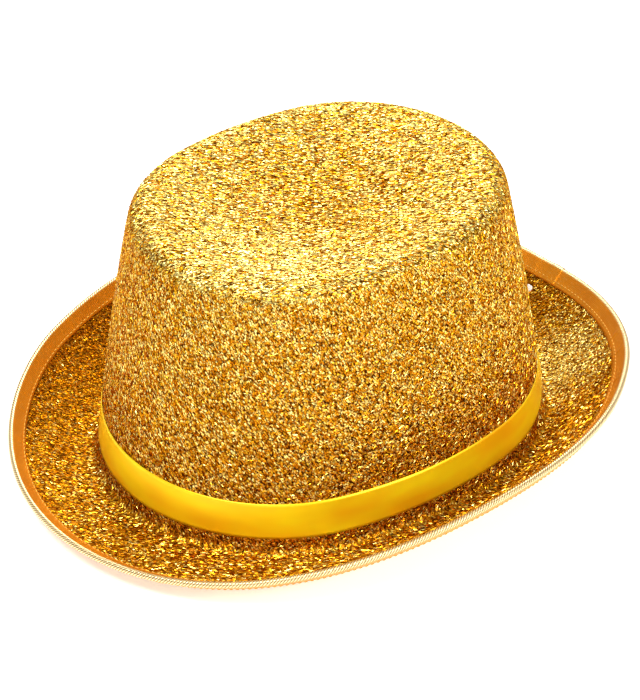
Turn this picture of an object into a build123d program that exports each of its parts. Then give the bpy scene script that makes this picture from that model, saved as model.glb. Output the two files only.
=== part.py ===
from build123d import *
from math import atan2, cos, degrees, hypot, sin, sqrt
import os

# New year party hat: a moulded felt top hat, covered in gold knit, with a satin band and a bound brim.
# The hat stands on the flat ring round its head opening, at z = 0. The front is towards -Y.

# crown, measured over the gold cover
crown_foot_half_width = 86.6        # where the wall meets the brim, across X
crown_foot_lengthening = 21.6       # how much longer the oval is than wide, from its middle
crown_foot_flattening = 2.9         # how much smaller its front and back radius is than its half width
crown_tip_half_width = 70.4
crown_tip_lengthening = 15.4
crown_tip_flattening = 1.7
crown_height = 129.8                # up to the rim of the tip
crown_bulge = 1.6                   # the wall swells this much at half height
tip_edge_radius = 7.0
tip_dish_depth = 8.0                # the tip is sunk this much in the middle
tip_flat_rim = 12.0                 # level rim left round the dish

# brim
brim_half_width = 123.1
brim_lengthening = 24.1             # as for the crown
brim_flattening = 6.7
brim_rise = 18.2                    # mean rise of the edge above the level ring, before the upturn
brim_back_lift = 6.8                # the back stands higher and the front lower by this much
brim_side_lift = 6.5                # the sides stand higher, the front and back lower
brim_corner_dip = 1.4               # the quarters dip a little between side and end
brim_twist = 1.6                    # one pair of opposite quarters stands higher than the other
brim_upturn = 26.0                  # how much steeper the last of the brim rises, over its whole width
brim_upturn_start = 0.88            # share of the brim's width where that begins
brim_upturn_round = 0.12            # share over which it comes in
brim_level_ring = 3.4               # level ring outside the foot of the wall
brim_roll = 0.22                    # share of the brim's width over which the ring turns upwards
rest_ring_sink = 0.3                # felt pressed flat under the level ring

# thicknesses
felt_thickness = 1.5
cover_thickness = 0.6
band_thickness = 0.4
tape_thickness = 0.4
thread_thickness = 0.35
sweatband_thickness = 0.7
label_thickness = 0.25

# trims
band_width = 18.0
band_foot_gap = 7.9                 # bare wall between the brim and the band
band_lap_length = 16.0
tape_width = 8.0                    # how far the binding reaches in from the edge, on both faces
stitch_line_inset = 6.0
stitch_line_width = 0.6
wire_thickness = 1.2
sweatband_width = 28.0
sweatband_foot_gap = 4.0
sweatband_stitch_inset = 2.0
label_width = 22.0
label_length = 38.0
label_overlap = 6.0                 # part of the label hidden behind the height of the sweatband
barb_length = 4.0
barb_width = 2.4
barb_thickness = 1.0
barb_side = 13.5                    # off the middle of the back, towards -X
barb_inset = 14.2                   # from the back edge of the brim

# clearances
glue_gap = 0.05                     # between a layer and what it is glued on
wire_gap = 0.1
below = 5.0                         # how far cutting shapes run past the face they cut
sheet_margin = 14.0                 # how far the brim's bent sheet runs past its edge
sheet_step = 6.0                    # spacing of the points that shape the bent sheet

crown_foot_half_length = crown_foot_half_width + crown_foot_lengthening
crown_tip_half_length = crown_tip_half_width + crown_tip_lengthening
brim_half_length = brim_half_width + brim_lengthening
brim_end_radius = brim_half_width - brim_flattening
brim_stack = felt_thickness + cover_thickness
label_foot = sweatband_foot_gap + sweatband_width - label_overlap


def oval(half_width, half_length, end_radius, mode=Mode.ADD):
    """Draw a four-arc oval: two end arcs, and two side arcs of the radius that meets them smoothly."""
    end_centre = half_length - end_radius
    side_radius = (half_width**2 + end_centre**2 - end_radius**2) / (2 * (half_width - end_radius))
    side_centre = side_radius - half_width
    turn = degrees(atan2(end_centre, side_centre))
    with BuildLine() as outline:
        CenterArc((-side_centre, 0), side_radius, -turn, 2 * turn)
        CenterArc((0, end_centre), end_radius, turn, 180 - 2 * turn)
        CenterArc((side_centre, 0), side_radius, 180 - turn, 2 * turn)
        CenterArc((0, -end_centre), end_radius, 180 + turn, 180 - 2 * turn)
    make_face(outline.edges(), mode=mode)


def crown_oval(share, inset):
    """Draw the crown's oval at a share of its height, moved in by inset, with the wall's bulge."""
    swell = 4 * crown_bulge * share * (1 - share) - inset
    half_width = crown_foot_half_width + (crown_tip_half_width - crown_foot_half_width) * share + swell
    lengthening = crown_foot_lengthening + (crown_tip_lengthening - crown_foot_lengthening) * share
    flattening = crown_foot_flattening + (crown_tip_flattening - crown_foot_flattening) * share
    oval(half_width, half_width + lengthening, half_width - flattening)


def crown_solid(inset):
    """Solid crown moved in by inset from the cover's face: lofted wall, round edge and dished tip."""
    top = crown_height - inset
    foot_share = -below / crown_height
    tip_share = top / crown_height
    dish_half_width = crown_tip_half_width - tip_flat_rim
    dish_half_length = crown_tip_half_length - tip_flat_rim
    across = (dish_half_width**2 + tip_dish_depth**2) / (2 * tip_dish_depth)
    along = (dish_half_length**2 + tip_dish_depth**2) / (2 * tip_dish_depth)
    lowest = crown_height - tip_dish_depth - inset
    axle = crown_height - tip_dish_depth + across
    reach = crown_tip_half_length
    with BuildPart() as crown:
        for share in (foot_share, (foot_share + tip_share) / 2, tip_share):
            with BuildSketch(Plane.XY.offset(share * crown_height)):
                crown_oval(share, inset)
        loft()
        fillet(crown.edges().group_by(Axis.Z)[-1], tip_edge_radius - inset)
        with BuildSketch(Plane.YZ):
            with BuildLine():
                sag = (along + inset) - sqrt((along + inset) ** 2 - reach**2)
                ThreePointArc((-reach, lowest + sag), (0, lowest), (reach, lowest + sag))
                Polyline((reach, lowest + sag), (reach, axle), (-reach, axle), (-reach, lowest + sag))
            make_face()
        revolve(axis=Axis((0, 0, axle), (0, 1, 0)), mode=Mode.SUBTRACT)
    return crown.part


def upturn(share):
    """Extra rise near the brim's edge: a slope that comes in softly round brim_upturn_start."""
    past = share - brim_upturn_start
    return brim_upturn * (hypot(past, brim_upturn_round) + past) / 2


def brim_height(x, y):
    """Height of the bent brim at a point: level near the crown, then rising to the edge's own height."""
    angle = atan2(x, -y)
    ring_half_width = crown_foot_half_width + brim_level_ring
    ring_half_length = crown_foot_half_length + brim_level_ring
    ring = 1 / hypot(sin(angle) / ring_half_width, cos(angle) / ring_half_length)
    edge = 1 / hypot(sin(angle) / brim_half_width, cos(angle) / brim_half_length)
    share = max(0.0, (hypot(x, y) - ring) / (edge - ring))
    turned = share**3 / (share**2 + brim_roll**2) * (1 + brim_roll**2)
    edge_height = (
        brim_rise
        - brim_back_lift * cos(angle)
        - brim_side_lift * cos(2 * angle)
        + brim_corner_dip * cos(4 * angle)
        - brim_twist * sin(2 * angle)
    )
    return edge_height * turned + upturn(share) - upturn(0) - rest_ring_sink


def bent_sheet():
    """Surface of the bent brim's underside, through points of brim_height on a square grid."""
    reach_x = brim_half_width + sheet_margin
    reach_y = brim_half_length + sheet_margin
    count_x = round(2 * reach_x / sheet_step)
    count_y = round(2 * reach_y / sheet_step)
    rows = []
    for j in range(count_y + 1):
        y = -reach_y + 2 * reach_y * j / count_y
        row = []
        for i in range(count_x + 1):
            x = -reach_x + 2 * reach_x * i / count_x
            row.append(Vector(x, y, brim_height(x, y)))
        rows.append(row)
    return Face.make_surface_from_array_of_points(rows, tol=0.02, min_deg=3, max_deg=3)


brim_sheet = bent_sheet()


def brim_slab(bottom, top, grow, inner_grow=None):
    """Slice of the brim between two heights over its underside, out to the brim's outline grown by grow."""
    with BuildPart() as slab:
        extrude(brim_sheet.moved(Location((0, 0, bottom))), amount=top - bottom, dir=(0, 0, 1))
        with BuildSketch(Plane.XY.offset(-below)):
            oval(brim_half_width + grow, brim_half_length + grow, brim_end_radius + grow)
            if inner_grow is not None:
                oval(
                    brim_half_width + inner_grow,
                    brim_half_length + inner_grow,
                    brim_end_radius + inner_grow,
                    mode=Mode.SUBTRACT,
                )
        extrude(amount=crown_height, mode=Mode.INTERSECT)
    return slab.part


def crown_layer(outer_inset, inner_inset, bottom, top):
    """Ring of the crown's wall between two insets and two heights."""
    outer = crown_solid(outer_inset)
    inner = crown_solid(inner_inset)
    with BuildPart() as layer:
        with BuildSketch(Plane.XY.offset(bottom)):
            Rectangle(2 * brim_half_width, 2 * brim_half_length)
        extrude(amount=top - bottom)
        add(outer, mode=Mode.INTERSECT)
        add(inner, mode=Mode.SUBTRACT)
    return layer.part


def wall_stretch(layer, place, size_x, size_y):
    """Stretch of a ring of the wall, cut to a box round one place."""
    with BuildPart() as stretch:
        add(layer)
        with BuildSketch(Plane.XY.offset(-below)):
            with Locations(place):
                Rectangle(size_x, size_y)
        extrude(amount=crown_height, mode=Mode.INTERSECT)
    return stretch.part


os.makedirs("parts", exist_ok=True)

cover_face = crown_solid(0)
felt_face = crown_solid(cover_thickness)
felt_inside = crown_solid(brim_stack)

# hat_shell: felt crown and brim in one moulding, pressed level where it stands
felt_brim = brim_slab(0, felt_thickness, 0)
with BuildPart() as hat_shell:
    with BuildSketch(Plane.XY.offset(felt_thickness / 2 - rest_ring_sink)):
        Rectangle(2 * brim_half_width, 2 * brim_half_length)
    extrude(amount=crown_height)
    add(felt_face, mode=Mode.INTERSECT)
    add(felt_brim)
    add(felt_inside, mode=Mode.SUBTRACT)
    with BuildSketch(Plane.XY):
        Rectangle(2 * brim_half_width + below, 2 * brim_half_length + below)
    extrude(amount=crown_height, mode=Mode.INTERSECT)
hat_shell.part.label = "hat_shell"
export_step(hat_shell.part, "parts/hat_shell.step")

# lurex_cover: gold knit over the crown and the top of the brim
cover_brim = brim_slab(felt_thickness + glue_gap, brim_stack, 0)
cover_inside = crown_solid(cover_thickness - glue_gap)
with BuildPart() as lurex_cover:
    with BuildSketch(Plane.XY.offset(brim_stack - cover_thickness / 2 - rest_ring_sink)):
        Rectangle(2 * brim_half_width, 2 * brim_half_length)
    extrude(amount=crown_height)
    add(cover_face, mode=Mode.INTERSECT)
    add(cover_brim)
    add(cover_inside, mode=Mode.SUBTRACT)
lurex_cover.part.label = "lurex_cover"
export_step(lurex_cover.part, "parts/lurex_cover.step")

# hat_band: satin ribbon glued round the foot of the crown, with one end lapped over the other
band_foot = brim_stack + band_foot_gap
band_top = band_foot + band_width
band_outer = glue_gap + band_thickness
band_ring = crown_layer(-band_outer, -glue_gap, band_foot, band_top)
lap_ring = crown_layer(-band_outer - band_thickness, -band_outer, band_foot, band_top)
lap_place = (-crown_foot_half_width, 0)
with BuildPart() as hat_band:
    add(band_ring)
    add(wall_stretch(lap_ring, lap_place, crown_foot_half_width, band_lap_length))
hat_band.part.label = "hat_band"
export_step(hat_band.part, "parts/hat_band.step")

# brim_wire: wire round the edge of the brim, in the fold of the binding
wire_middle = brim_stack / 2
wire_inner = wire_gap
wire_outer = wire_gap + wire_thickness
wire_ring = brim_slab(
    wire_middle - wire_thickness / 2, wire_middle + wire_thickness / 2, wire_outer, wire_inner
)
with BuildPart() as brim_wire:
    add(wire_ring)
brim_wire.part.label = "brim_wire"
export_step(brim_wire.part, "parts/brim_wire.step")

# brim_binding: tape folded over the wire and the edge of the brim
tape_gap_outer = wire_outer + wire_gap
tape_outer = tape_gap_outer + tape_thickness
tape_slab = brim_slab(-glue_gap - tape_thickness, brim_stack + glue_gap + tape_thickness, tape_outer, -tape_width)
tape_hollow = brim_slab(-glue_gap, brim_stack + glue_gap, tape_gap_outer)
with BuildPart() as brim_binding:
    add(tape_slab)
    add(tape_hollow, mode=Mode.SUBTRACT)
brim_binding.part.label = "brim_binding"
export_step(brim_binding.part, "parts/brim_binding.step")

# binding_stitching: needle thread on top of the binding and bobbin thread under it
tape_top = brim_stack + glue_gap + tape_thickness
tape_underside = -glue_gap - tape_thickness
stitch_outer = -stitch_line_inset + stitch_line_width
needle_thread = brim_slab(tape_top, tape_top + thread_thickness, stitch_outer, -stitch_line_inset)
bobbin_thread = brim_slab(tape_underside - thread_thickness, tape_underside, stitch_outer, -stitch_line_inset)
with BuildPart() as binding_stitching:
    add(needle_thread)
    add(bobbin_thread)
binding_stitching.part.label = "binding_stitching"
export_step(binding_stitching.part, "parts/binding_stitching.step")

# sweatband: ribbon round the inside of the head opening
sweat_outer = brim_stack + glue_gap
sweat_inner = sweat_outer + sweatband_thickness
sweat_top = sweatband_foot_gap + sweatband_width
sweat_ring = crown_layer(sweat_outer, sweat_inner, sweatband_foot_gap, sweat_top)
with BuildPart() as sweatband:
    add(sweat_ring)
sweatband.part.label = "sweatband"
export_step(sweatband.part, "parts/sweatband.step")

# sweatband_stitching: line of thread near the sweatband's lower edge
sweat_line_foot = sweatband_foot_gap + sweatband_stitch_inset
sweat_line = crown_layer(
    sweat_inner, sweat_inner + thread_thickness, sweat_line_foot, sweat_line_foot + stitch_line_width
)
with BuildPart() as sweatband_stitching:
    add(sweat_line)
sweatband_stitching.part.label = "sweatband_stitching"
export_step(sweatband_stitching.part, "parts/sweatband_stitching.step")

# care_label: blank ribbon label held against the sweatband at the back
label_place = (0, crown_foot_half_length)
label_ring = crown_layer(sweat_inner, sweat_inner + label_thickness, label_foot, label_foot + label_length)
with BuildPart() as care_label:
    add(wall_stretch(label_ring, label_place, label_width, crown_foot_half_length))
care_label.part.label = "care_label"
export_step(care_label.part, "parts/care_label.step")

# tag_barb: plastic barb of a shop tag, left in the brim at the back
barb_slab = brim_slab(brim_stack, brim_stack + barb_thickness, 0)
with BuildPart() as tag_barb:
    add(barb_slab)
    with BuildSketch(Plane.XY.offset(-below)):
        with Locations((-barb_side, brim_half_length - barb_inset)):
            SlotOverall(barb_length, barb_width)
    extrude(amount=crown_height, mode=Mode.INTERSECT)
tag_barb.part.label = "tag_barb"
export_step(tag_barb.part, "parts/tag_barb.step")
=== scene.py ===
import bmesh
import bpy
import numpy as np
from mathutils import Matrix, Vector


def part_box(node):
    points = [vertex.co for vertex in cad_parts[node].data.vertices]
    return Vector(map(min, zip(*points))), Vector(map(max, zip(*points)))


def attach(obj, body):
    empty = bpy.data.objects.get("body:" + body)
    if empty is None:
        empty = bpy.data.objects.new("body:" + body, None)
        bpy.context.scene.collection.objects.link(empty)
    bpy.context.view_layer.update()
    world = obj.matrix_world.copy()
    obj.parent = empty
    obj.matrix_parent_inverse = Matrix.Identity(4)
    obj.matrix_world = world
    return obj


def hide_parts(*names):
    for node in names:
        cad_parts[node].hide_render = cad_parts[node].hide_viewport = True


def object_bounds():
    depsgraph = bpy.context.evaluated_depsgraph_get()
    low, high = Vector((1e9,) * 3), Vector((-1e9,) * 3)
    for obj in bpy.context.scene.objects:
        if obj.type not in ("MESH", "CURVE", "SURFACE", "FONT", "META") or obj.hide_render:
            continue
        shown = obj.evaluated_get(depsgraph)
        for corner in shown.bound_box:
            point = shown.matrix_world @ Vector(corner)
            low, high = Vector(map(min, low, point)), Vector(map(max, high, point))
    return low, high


bl_info = {
    "name": "New Year Party Hat",
    "version": (1, 0, 0),
    "blender": (4, 5, 0),
    "location": "3D View > Sidebar > Party Hat",
    "description": "Builds the gold knit party top hat around its fixed frame of packed parts",
    "category": "Object",
}

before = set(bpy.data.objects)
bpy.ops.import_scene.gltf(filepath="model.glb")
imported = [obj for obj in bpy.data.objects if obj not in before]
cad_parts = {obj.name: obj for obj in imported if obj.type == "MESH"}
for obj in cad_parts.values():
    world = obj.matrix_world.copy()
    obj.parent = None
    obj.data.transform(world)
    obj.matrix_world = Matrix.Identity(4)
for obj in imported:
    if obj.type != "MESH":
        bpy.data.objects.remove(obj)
CAD_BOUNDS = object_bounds()
COVER_LOW, COVER_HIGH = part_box("lurex_cover")
BAND_LOW, BAND_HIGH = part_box("hat_band")
SWEAT_LOW, SWEAT_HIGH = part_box("sweatband")
LABEL_LOW, LABEL_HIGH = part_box("care_label")
BARB_LOW, BARB_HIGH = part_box("tag_barb")

MM = 0.001
TURN = 2 * np.pi
BODY = "root"
MERGE_DISTANCE = 1e-6

# How finely each piece is divided, and how many strands, puckers and sides it has
ROUND_COUNT = 400
BAND_COUNT = 960
TAPE_COUNT = 2400
WIRE_COUNT = 720
PATH_COUNT = 2000
THREAD_SIDES = 6
PUCKER_COUNT = 80
TIP_STRANDS = 15000
WALL_STRANDS = 44000
BRIM_STRANDS = 20000

# Shape of the brim and of the small parts
BRIM_ROLL = 0.22
UPTURN_START = 0.88
UPTURN_ROUND = 0.12
DISH_SHARE = 0.97
RIB_PITCH = 1.45 * MM
SWEAT_THICKNESS = 0.6 * MM
SWEAT_STITCH_HEIGHT = 2.3 * MM
LABEL_THICKNESS = 0.22 * MM
LABEL_ROW = 1.9 * MM
GLUE = 0.12 * MM
EDGE_GLUE = 0.1 * MM
FELT_GLUE = 0.05 * MM
STITCH_RISE = 0.5 * MM
SWEAT_STITCH_SHARE = 1.4
WIRE_STANDOFF = 0.6 * MM
SMALL_STEP = 0.5 * MM

# Laps: where each one lies, half its length and how sharply its end steps down
BAND_LAP_ANGLE = 1.5 * np.pi
BAND_HALF_LAP = 8 * MM
BAND_LAP_STEP = 0.5 * MM
TAPE_LAP_ANGLE = np.radians(182)
TAPE_LAP_LENGTH = 9 * MM

# Waves of the satin band: height in mm, how many go round, and where they start; then how far the
# band's middle swells out, and how far its edges waver
BAND_RIPPLES = ((0.20, 5, 0.4), (0.16, 9, 1.9), (0.09, 17, 0.2))
BAND_SWELL = 0.35 * MM
BAND_WAVER = 0.3 * MM

# Puckers of the tape, lowest and highest, in mm
PUCKER_WIDTHS = (0.7, 2.2)
PUCKER_HEIGHTS = (-0.14, 0.34)

# Dents of a handled brim: direction, spread (both in radians) and depth
EDGE_DENT = (np.radians(140), 0.2, 1.6 * MM)
BACK_SAG = (np.radians(188), 0.22, 2.6 * MM)

# Loose strands: shortest and longest, and so on, in mm, and the spread of their lean and their tone
STRAND_HALF_LENGTHS = (0.45, 1.05)
STRAND_HALF_WIDTHS = (0.18, 0.34)
STRAND_STANDS = (0.05, 0.28)
STRAND_ROOT = 0.12 * MM
STRAND_ROCK = 0.11
TONE_SPREAD = 0.27

# Strands in the knit's pattern: length and width on the flat and on the wall, and their waver
FLAT_STRAND = (1.7 * MM, 0.62 * MM)
WALL_STRAND = (1.25 * MM, 0.66 * MM)
STRAND_WOBBLE = 1.2
WALL_GRAIN_TURN = 1.0

# Run of the knit across the hat and up the wall, the random part of it, the lean of the pattern's
# strands, and how bright each zone's strands are: painted light, the tip paler and the brim deeper for how
# the light falls on each
GRAIN_TURN = np.radians(55)
GRAIN_SPREAD = 0.35
STEEP_TURN = np.radians(52)
STEEP_SPREAD = 0.55
STRAND_LEAN = 0.9
TIP_PAINTED_LIGHT_TONE = 0.60
WALL_PAINTED_LIGHT_TONE = 0.44
BRIM_PAINTED_LIGHT_TONE = 0.36

# Soft patches of painted light, where the knit's tone is raised or lowered: middle, reach and how much its
# tone changes.
# They are a painted highlight on the stretched knit beside the back of the crown, painted shade in the dish
# of the tip and a painted highlight on its front rim.
PAINTED_LIGHT_PATCHES = (
    ((0.034, 0.116, 0.008), 0.040, 0.65),
    ((0.0, 0.01, 0.122), 0.062, -0.18),
    ((0.035, -0.055, 0.127), 0.050, 0.14),
)

# Stage: azimuth, elevation, distance, size and power of each light; then the camera
WORLD_LIGHT = 0.58
FLOOR_LIGHT = 0.4
LIGHTS = (
    ("key", 20.0, 62.0, 1.3, 0.5, 16.0),
    ("fill", 105.0, 32.0, 1.6, 0.5, 15.0),
    ("rim", 235.0, 45.0, 1.5, 0.6, 14.0),
)
CAMERA_AZIMUTH = 55.56
CAMERA_ELEVATION = 36.14
CAMERA_ROLL = -0.75
CAMERA_DISTANCE = 1.284
CAMERA_LENS = 144.6
CAMERA_TARGET_HEIGHT = 0.0527
CAMERA_AIM = (0.00035, 0.00896)


# Properties ---------------------------------------------------------------------------------------

def length(name, description, default):
    """A length property in metres."""
    return bpy.props.FloatProperty(
        name=name, description=description, default=default, min=0.0, unit="LENGTH", precision=5
    )


def colour(name, description, default):
    """A linear colour property."""
    return bpy.props.FloatVectorProperty(
        name=name, description=description, default=default, subtype="COLOR", size=3, min=0.0, max=1.0
    )


class HatSizes(bpy.types.PropertyGroup):
    """Sizes of the hat's soft pieces, in metres, over the gold cover unless said otherwise."""

    crown_height: length("Crown height", "Floor to the rim of the tip", COVER_HIGH[2])
    foot_half_width: length("Foot half width", "Crown's half width where it meets the brim", 0.0866)
    foot_half_length: length("Foot half length", "Crown's half length there", 0.1082)
    foot_end_radius: length("Foot end radius", "Radius of the crown's front and back there", 0.0837)
    tip_half_width: length("Tip half width", "Half width of the tip", 0.0704)
    tip_half_length: length("Tip half length", "Half length of the tip", 0.0858)
    tip_end_radius: length("Tip end radius", "Radius of the tip's front and back", 0.0687)
    bulge: length("Wall bulge", "Swell of the wall at half height", 0.0016)
    tip_edge: length("Tip edge radius", "Roundness of the edge of the tip", 0.0070)
    tip_tilt: length("Tip tilt", "How much lower the front of the tip is than its back", 0.0012)
    tip_dish: length("Tip dish depth", "How far the tip is sunk in the middle", 0.0080)
    brim_half_width: length("Brim half width", "Half width of the brim's edge", COVER_HIGH[0])
    brim_half_length: length("Brim half length", "Half length of the brim's edge", COVER_HIGH[1])
    brim_end_radius: length("Brim end radius", "Radius of the brim's front and back", COVER_HIGH[0] - 0.0067)
    level_ring: length("Level ring", "Flat part of the brim next to the crown", 0.0034)
    brim_foot: length("Brim foot", "Height of the brim's top next to the crown", 0.0018)
    brim_rise: length("Brim rise", "Mean rise of the brim's edge over its foot, before the upturn", 0.0182)
    back_lift: length("Back lift", "How much higher the back stands than the mean", 0.0068)
    side_lift: length("Side lift", "How much higher the sides stand than the mean", 0.0065)
    corner_dip: length("Corner dip", "Dip between side and end", 0.0014)
    brim_twist: length("Brim twist", "How much higher one pair of quarters stands", 0.0016)
    brim_upturn: length("Brim upturn", "Extra rise of the last of the brim, over its whole width", 0.026)
    junction_roll: length("Junction roll", "Radius of the roll between wall and brim", 0.0042)
    cover_thickness: length("Cover thickness", "Thickness of the gold knit", 0.00055)
    felt_thickness: length("Felt thickness", "Thickness of the moulded felt", 0.0015)
    tape_thickness: length("Tape thickness", "Thickness of the binding tape", 0.00035)
    wire_radius: length("Wire radius", "Half the thickness of the wire in the fold", 0.0005)
    tape_width: length("Binding width", "How far the binding reaches in from the edge", 0.0080)
    stitch_inset: length("Stitch inset", "Stitch line's distance from the edge", 0.0060)
    stitch_pitch: length("Stitch pitch", "Spacing of the machine stitches", 0.0027)
    thread_radius: length("Thread radius", "Half the thickness of the sewing thread", 0.00022)
    band_thickness: length("Band thickness", "Thickness of the satin band", 0.0003)


class HatColours(bpy.types.PropertyGroup):
    """Colours of the hat's materials."""

    knit_pale: colour("Pale gold", "Brightest film strands", (1.0, 0.84, 0.27))
    knit_gold: colour("Gold", "Middle film strands", (0.74, 0.40, 0.016))
    knit_deep: colour("Deep gold", "Darker film strands", (0.52, 0.165, 0.003))
    # Painted shade put in the gaps between the strands, also the tint of the darkest loose strands
    knit_gap_shade: colour("Knit ground", "Ground between the strands", (0.08, 0.022, 0.001))
    felt: colour("Felt", "Moulded felt inside and under the brim", (0.72, 0.48, 0.14))
    felt_deep: colour("Felt shade", "Felt between its fibres", (0.50, 0.30, 0.06))
    satin: colour("Satin", "Hat band", (1.0, 0.80, 0.006))
    # Deeper side of the band's painted sheen patches
    satin_deep: colour("Satin shade", "Hat band where its threads turn away", (0.92, 0.50, 0.002))
    tape: colour("Tape", "Metallic binding tape", (0.98, 0.41, 0.011))
    tape_deep: colour("Tape shade", "Binding tape between its ribs", (0.62, 0.19, 0.004))
    # Painted highlight: the pale cream along the tape's round fold, crossed by its slanting threads
    fold: colour("Fold", "Metal threads on the fold of the tape", (0.86, 0.68, 0.36))
    fold_deep: colour("Fold shade", "Fold between its slanting threads", (0.30, 0.16, 0.04))
    thread: colour("Thread", "Stitching", (0.92, 0.66, 0.10))
    sweatband: colour("Sweatband", "Ribbon inside the head opening", (0.62, 0.50, 0.30))
    sweatband_deep: colour("Sweatband shade", "Sweatband between its ribs", (0.40, 0.30, 0.15))
    label: colour("Label", "Blank care label", (0.86, 0.86, 0.84))
    label_deep: colour("Label shade", "Label between its ribs", (0.68, 0.68, 0.66))
    plastic: colour("Plastic", "Tag barb", (0.90, 0.90, 0.90))


# Shader maths -------------------------------------------------------------------------------------

class Wire:
    """A shader socket that Python's arithmetic works on; each operation adds its Math node."""

    def __init__(self, graph, socket):
        self.graph = graph
        self.socket = socket

    def _math(self, operation, first, second):
        return self.graph.node("ShaderNodeMath", {0: first, 1: second}, {"operation": operation})

    def __add__(self, other):
        return self._math("ADD", self, other)

    __radd__ = __add__

    def __sub__(self, other):
        return self._math("SUBTRACT", self, other)

    def __rsub__(self, other):
        return self._math("SUBTRACT", other, self)

    def __mul__(self, other):
        return self._math("MULTIPLY", self, other)

    __rmul__ = __mul__


class Graph:
    """The node tree of one material."""

    def __init__(self, name):
        self.material = bpy.data.materials.new(name)
        self.material.use_nodes = True
        self.tree = self.material.node_tree
        self.tree.nodes.clear()

    def node(self, kind, values=None, settings=None, out=0):
        """Make a node: its settings first, then the values or links of its sockets, by place or name.
        Gives the wire of one output, or a list of wires for a tuple of outputs."""
        made = self.tree.nodes.new(kind)
        for key, value in (settings or {}).items():
            if key == "stops":
                self._set_stops(made.color_ramp.elements, value)
            else:
                setattr(made, key, value)
        for key, value in (values or {}).items():
            if isinstance(value, Wire):
                self.tree.links.new(value.socket, made.inputs[key])
            else:
                made.inputs[key].default_value = value
        if isinstance(out, tuple):
            return [Wire(self, made.outputs[number]) for number in out]
        return Wire(self, made.outputs[out]) if made.outputs else None

    def _set_stops(self, elements, stops):
        while len(elements) < len(stops):
            elements.new(0.5)
        for element, (place, tint) in zip(elements, stops):
            element.position = place
            element.color = (*tint, 1.0)

    def colour(self, tint):
        """A colour as a socket takes it."""
        return tint if isinstance(tint, Wire) else (*tint, 1.0)

    def mix(self, factor, first, second):
        """Colour between two colours."""
        values = {0: factor, 6: self.colour(first), 7: self.colour(second)}
        return self.node("ShaderNodeMix", values, {"data_type": "RGBA"}, out=2)

    def ramp(self, value, *stops):
        """Colour looked up between (place, colour) stops."""
        return self.node("ShaderNodeValToRGB", {0: value}, {"stops": stops})

    def remap(self, value, low, high, to_low=0.0, to_high=1.0):
        """Value moved from one range to another and kept inside it."""
        return self.node("ShaderNodeMapRange", {0: value, 1: low, 2: high, 3: to_low, 4: to_high})

    def vector(self, operation, *values):
        """Vector arithmetic."""
        return self.node("ShaderNodeVectorMath", dict(enumerate(values)), {"operation": operation})

    def object_place(self):
        """Place on the object."""
        return self.node("ShaderNodeTexCoord", out=3)

    def weave_place(self):
        """Place on the cloth: metres round it and metres across it."""
        return self.node("ShaderNodeUVMap", settings={"uv_map": "Weave"})

    def attribute(self, name):
        """A value stored on the mesh."""
        return self.node("ShaderNodeAttribute", settings={"attribute_name": name}, out=2)

    def zones(self):
        """The two zone values stored with the cloth's map."""
        place = self.node("ShaderNodeUVMap", settings={"uv_map": "Zone"})
        return self.node("ShaderNodeSeparateXYZ", {0: place}, out=(0, 1))

    def noise(self, place, scale, detail=2.0, out=0):
        """Soft noise with that many lumps to a metre."""
        return self.node("ShaderNodeTexNoise", {0: place, 2: scale, 3: detail}, out=out)

    def drawn_noise(self, place, stretch, detail):
        """Noise with that many lumps to a metre along each axis, so that they are drawn out."""
        return self.noise(self.node("ShaderNodeMapping", {0: place, 3: stretch}), 1.0, detail)

    def wave(self, place, direction, scale, distortion=0.0, detail=2.0):
        """Even ribs across a direction."""
        values = {0: place, 1: scale, 2: distortion, 3: detail}
        return self.node("ShaderNodeTexWave", values, {"bands_direction": direction}, out=1)

    def bump(self, height, depth, strength=1.0, normal=None):
        """Normal bumped by a height from 0 to 1 that stands for depth metres."""
        values = {0: strength, 1: depth, 3: height}
        if normal is not None:
            values[4] = normal
        return self.node("ShaderNodeBump", values)

    def finish(self, values):
        """Principled shader with these sockets, linked to the output."""
        shader = self.node("ShaderNodeBsdfPrincipled", values)
        self.node("ShaderNodeOutputMaterial", {0: shader})
        return self.material


# Materials ----------------------------------------------------------------------------------------

def strand_cells(graph, place, turn, strand_length, strand_width):
    """Cells drawn out into short strands: their random colour and the distance from their middle."""
    size = (strand_length, strand_width, strand_width)
    turned = {0: place, 2: (0.0, 0.0, turn), 3: size}
    placed = graph.node("ShaderNodeMapping", turned, {"vector_type": "TEXTURE"})
    lumps = graph.noise(placed, 0.45, 1.0, out=1)
    moved = graph.vector("MULTIPLY_ADD", lumps, (STRAND_WOBBLE,) * 3, placed)
    return graph.node("ShaderNodeTexVoronoi", {0: moved, 2: 1.0}, out=(1, 0))


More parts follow.
